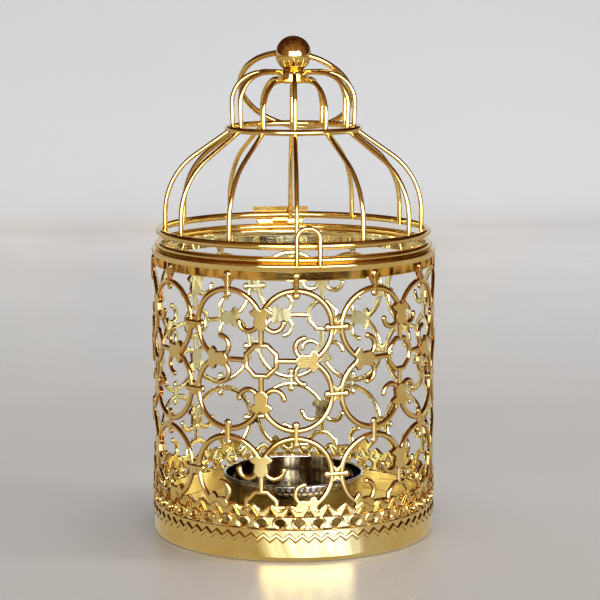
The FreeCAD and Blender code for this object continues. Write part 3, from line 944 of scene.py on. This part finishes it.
def buildStage():
    bm = bmesh.new()
    half, depth = stageSizes["half"], stageSizes["depth"]
    corners = ((-half, -half), (half, -half), (half, depth), (-half, depth))
    verts = [bm.verts.new((x, y, 0)) for x, y in corners]
    bm.faces.new(verts)
    back = bm.edges.get((verts[2], verts[3]))
    made = bmesh.ops.extrude_edge_only(bm, edges=[back])["geom"]
    bmesh.ops.translate(bm, vec=(0, 0, stageSizes["tall"]), verts=ofKind(made, BMVert))
    bmesh.ops.bevel(
        bm, geom=[back], offset=stageSizes["sweep"], segments=stageSizes["steps"],
        profile=0.5, affect="EDGES", material=-1,
    )
    return bm


# the painted window's glow, which the room's card and the table show only in the metal
windowLight = (9.0, 9.3, 9.8, 1)

# four numbers without a name for each are a span: from, to, and the values there
paintLook = {
    # painted shade and light: the tones run darker towards the front and paler up the backdrop, in place of
    # how the lamps fall on the sweep
    "shadedTones": [
        (0.153, (0.492, 0.461, 0.432, 1)), (0.22, (0.478, 0.449, 0.421, 1)), (0.26, (0.442, 0.417, 0.393, 1)),
        (0.307, (0.447, 0.424, 0.402, 1)), (0.367, (0.50, 0.482, 0.463, 1)), (0.433, (0.565, 0.553, 0.54, 1)),
        (0.527, (0.67, 0.668, 0.67, 1)), (0.647, (0.83, 0.838, 0.855, 1)), (0.80, (0.81, 0.81, 0.815, 1)),
        (0.88, (0.77, 0.774, 0.79, 1)), (1.0, (0.725, 0.733, 0.758, 1)),
    ],
    "fade": (-0.3, 1.2, 0.0, 1.0),
    "grainScale": 6.0,
    "grainFade": (0.3, 0.7, -0.02, 0.02),
    "polish": (0.3, 0.7, 0.20, 0.28),
    # painted reflection, glowing only for rays from the metal: a plain table with dark and warm cluttered
    # patches further off
    "plain": (0.50, 0.46, 0.40, 1),
    "dim": (0.03, 0.008, 0.004, 1),
    "warm": (0.62, 0.42, 0.19, 1),
    "lumpScale": 14.0,
    "reflectedClutter": (0.42, 0.56, 0.0, 1.0),
    "plainEnd": (0.46, 0.52, 0.0, 1.0),
    "tableEnd": (0.85, 1.1, 1.0, 0.0),
}
shineLook = {
    "glow": [
        (0.0, windowLight), (0.083, windowLight), (0.114, (0.03, 0.008, 0.004, 1)),
        (0.31, (0.06, 0.025, 0.012, 1)), (0.379, (0.50, 0.47, 0.43, 1)), (0.545, (0.90, 0.90, 0.90, 1)),
        (0.697, (1.0, 1.0, 1.0, 1)), (0.818, (1.4, 1.55, 1.8, 1)), (1.0, (2.6, 3.3, 5.0, 1)),
    ],
    "run": (-0.70, -0.04),
    "lumpyRun": (-0.45, -0.30, 1.0, 0.0),
    "lumps": (0.3, 0.7, -0.03, 0.03),
    "slant": 0.095,
    "halfWidth": (0.56, 0.0133),
    "sides": (0.25, 1.35, 1.0, 0.0),
    "shallow": (0.58, 0.72, 0.0, 1.0),
    "footEnd": (-0.0405, -0.0395, 1.0, 0.0),
    "streakScale": 2.6,
    "streaks": (0.38, 0.58, 0.6, 0.0),
    "streakRun": (-0.16, -0.09, 0.0, 1.0),
}


# the painted reflection of the window's shine on the table in front of the cage: how strongly it shows, and
# its colour
def tableShine(shade, along, across, lumps):
    run = shineLook["run"]
    lumpy = along.span(*shineLook["lumpyRun"]) * lumps.span(*shineLook["lumps"])
    nearness = along.span(*run, 0.0, 1.0) + lumpy
    glow = shade.node("ValToRGB", {"stops": shineLook["glow"]}, {0: nearness})
    bearing = (across + shineLook["slant"] * along) / along.span(*run, *shineLook["halfWidth"])
    beside = abs(bearing).span(*shineLook["sides"])
    shallow = shade.node("LayerWeight", {}, {"Blend": 0.5}, "Facing").span(*shineLook["shallow"])
    turns = shade.node("CombineXYZ", {}, {0: bearing})
    streaks = turns.noise(shineLook["streakScale"]).span(*shineLook["streaks"])
    unbroken = 1.0 - streaks * along.span(*shineLook["streakRun"])
    ahead = along.span(*shineLook["footEnd"]) * unbroken
    return shallow * beside * ahead, glow


# grey sweep, painted darker towards the front as shade; the metal sees a glowing painted reflection instead, a
# plain table with the window's shine on it at a shallow angle and warm cluttered patches further off
def sweepPaint():
    finish, shade, place = newFinish("sweepPaint")
    along, across = place.axis("Y"), place.axis("X")
    grain = place.noise(paintLook["grainScale"])
    fade = along.span(*paintLook["fade"]) + grain.span(*paintLook["grainFade"])
    colour = shade.node("ValToRGB", {"stops": paintLook["shadedTones"]}, {0: fade})
    polish = grain.span(*paintLook["polish"])
    paint = shade.node("BsdfPrincipled", {}, {"Base Color": colour, "Roughness": polish})
    lumps = place.noise(paintLook["lumpScale"])
    away = shade.node("VectorMath", {"operation": "LENGTH"}, {0: place}, "Value")
    reflectedClutter = lumps.span(*paintLook["reflectedClutter"]).mix(paintLook["dim"], paintLook["warm"])
    table = away.span(*paintLook["plainEnd"]).mix(paintLook["plain"], reflectedClutter)
    share, glow = tableShine(shade, along, across, lumps)
    mirrored = shade.node("LightPath", out="Is Glossy Ray") * away.span(*paintLook["tableEnd"])
    shine = glowing(shade, share.mix(table, glow))
    useSurface(finish, shade.node("MixShader", {}, {0: mirrored, 1: paint, 2: shine}))
    return finish


addStaged("studioSweep", buildStage(), sweepPaint(), smooth=True)


roomSizes = {
    "radius": 0.95,
    "skirt": 4,
    "tilt": 14,
    "rows": 12,
    "steps": 48,
    "cardEdges": (-0.7, 0.9),
    "cardPlace": -0.70,
    "cardFoot": 0.002,
    "cardTall": 0.44,
}
roomLook = {
    "near": (0.36, 0.205, 0.12, 1),
    "far": (0.055, 0.018, 0.012, 1),
    "depth": (-0.85, 0.15, 0.0, 1.0),
    "lumpScale": 4.0,
    "lumps": (0.35, 0.65, -0.25, 0.25),
    "ragged": (0.3, 0.7, -0.07, 0.07),
    "windowTop": (0.33, 0.37, 1.0, 0.0),
    "windowFront": (-0.699, -0.66, 1.0, 0.0),
    "windowMiddle": 0.12,
    "windowSides": (0.5, 0.6, 1.0, 0.0),
    "offFloor": (0.0004, 0.0012, 0.0, 1.0),
}


# a dome, tilted back, and an upright card in front of the table
def buildRoom():
    bm = bmesh.new()
    radius, rows, first = roomSizes["radius"], roomSizes["rows"], math.radians(roomSizes["skirt"])
    angles = [first + (quarterTurn - first) * row / rows for row in range(rows + 1)]
    outline = [(radius * math.cos(angle), radius * math.sin(angle)) for angle in angles]
    turned(bm, outline, roomSizes["steps"], closed=False)
    tilt = Matrix.Rotation(math.radians(roomSizes["tilt"]), 3, "X")
    bmesh.ops.rotate(bm, cent=(0, 0, 0), matrix=tilt, verts=bm.verts)
    foot = [bm.verts.new((x, roomSizes["cardPlace"], roomSizes["cardFoot"])) for x in roomSizes["cardEdges"]]
    runStraight(bm, foot + [bm.edges.new(foot)], Vector((0, 0, roomSizes["cardTall"])))
    return bm


# a painted reflection of the dark room round the table, glowing and seen only in the metal: brown in front,
# darker behind, a painted window low in front; rays that start on the floor don't see the window
def roomFinish():
    finish, shade, place = newFinish("roomReflection")
    along, across, height = (place.axis(letter) for letter in "YXZ")
    lumps = place.noise(roomLook["lumpScale"])
    depth = along.span(*roomLook["depth"]) + lumps.span(*roomLook["lumps"])
    top = (height + lumps.span(*roomLook["ragged"])).span(*roomLook["windowTop"])
    front = along.span(*roomLook["windowFront"])
    sides = abs(across - roomLook["windowMiddle"]).span(*roomLook["windowSides"])
    rise = shade.node("NewGeometry", out="Incoming").axis("Z")
    start = height + rise * shade.node("LightPath", out="Ray Length")
    window = top * front * sides * start.span(*roomLook["offFloor"])
    colour = window.mix(depth.mix(roomLook["near"], roomLook["far"]), windowLight)
    mirrored = shade.node("LightPath", out="Is Glossy Ray")
    clear = shade.node("BsdfTransparent")
    useSurface(finish, shade.node("MixShader", {}, {0: mirrored, 1: clear, 2: glowing(shade, colour)}))
    return finish


addStaged("roomReflection", buildRoom(), roomFinish(), smooth=False)


lampSizes = {
    "topBox": {"place": (0.10, -0.15, 1.3), "aim": (0, 0, 0.06), "size": (0.9, 0.6), "power": 6.8},
    "leftBox": {"place": (-1.1, -0.45, 0.55), "aim": (0, 0, 0.06), "size": (0.30, 0.8), "power": 0.9},
    "rightBox": {"place": (1.1, -0.25, 0.5), "aim": (0, 0, 0.06), "size": (0.22, 0.7), "power": 6.0},
    "backBox": {"place": (0, 0.55, 1.1), "aim": (0, 1.2, 0.1), "size": (0.8, 0.3), "power": 0.6},
}
for name, sizes in lampSizes.items():
    light = bpy.data.lights.new(name, "AREA")
    light.shape = "RECTANGLE"
    light.size, light.size_y = sizes["size"]
    light.energy = sizes["power"]
    lamp = bpy.data.objects.new(name, light)
    lamp.location = sizes["place"]
    ahead = Vector(sizes["aim"]) - Vector(sizes["place"])
    lamp.rotation_euler = ahead.to_track_quat("-Z", "Y").to_euler()
    lamp.visible_glossy = False
    bpy.context.scene.collection.objects.link(lamp)

# what the world lights with, and what is seen of it
worldLook = {
    "lit": {"Color": (0.86, 0.86, 0.865, 1), "Strength": 0.64},
    "shown": {"Color": (0.56, 0.55, 0.54, 1), "Strength": 1.0},
}
world = bpy.data.worlds.new("paleRoom")
bpy.context.scene.world = world
world.use_nodes = True
world.node_tree.nodes.clear()
air = Shade(world.node_tree)
fromCamera, inMetal, through = (
    air.node("LightPath", out=f"Is {kind} Ray") for kind in ("Camera", "Glossy", "Transmission")
)
lit, shown = (air.node("Background", {}, worldLook[key]) for key in ("lit", "shown"))
mixed = air.node("MixShader", {}, {0: fromCamera + inMetal + through, 1: lit, 2: shown})
worldOut = world.node_tree.nodes.new("ShaderNodeOutputWorld")
world.node_tree.links.new(mixed.socket, worldOut.inputs[0])

cameraSizes = {
    "place": (-0.06185, -0.60585, 0.1579),
    "pitch": 8.724,
    "turn": -6.0,
    "lens": 132.97,
    "sensor": 36,
    "near": 0.02,
}
camera = bpy.data.cameras.new("photoView")
camera.lens = cameraSizes["lens"]
camera.sensor_width = cameraSizes["sensor"]
camera.clip_start = cameraSizes["near"]
viewer = bpy.data.objects.new("photoView", camera)
viewer.location = cameraSizes["place"]
viewer.rotation_euler = (math.radians(90 - cameraSizes["pitch"]), 0, math.radians(cameraSizes["turn"]))
bpy.context.scene.collection.objects.link(viewer)
bpy.context.scene.camera = viewer
bpy.context.scene.view_settings.view_transform = "Standard"
print("stage, lights and camera done")
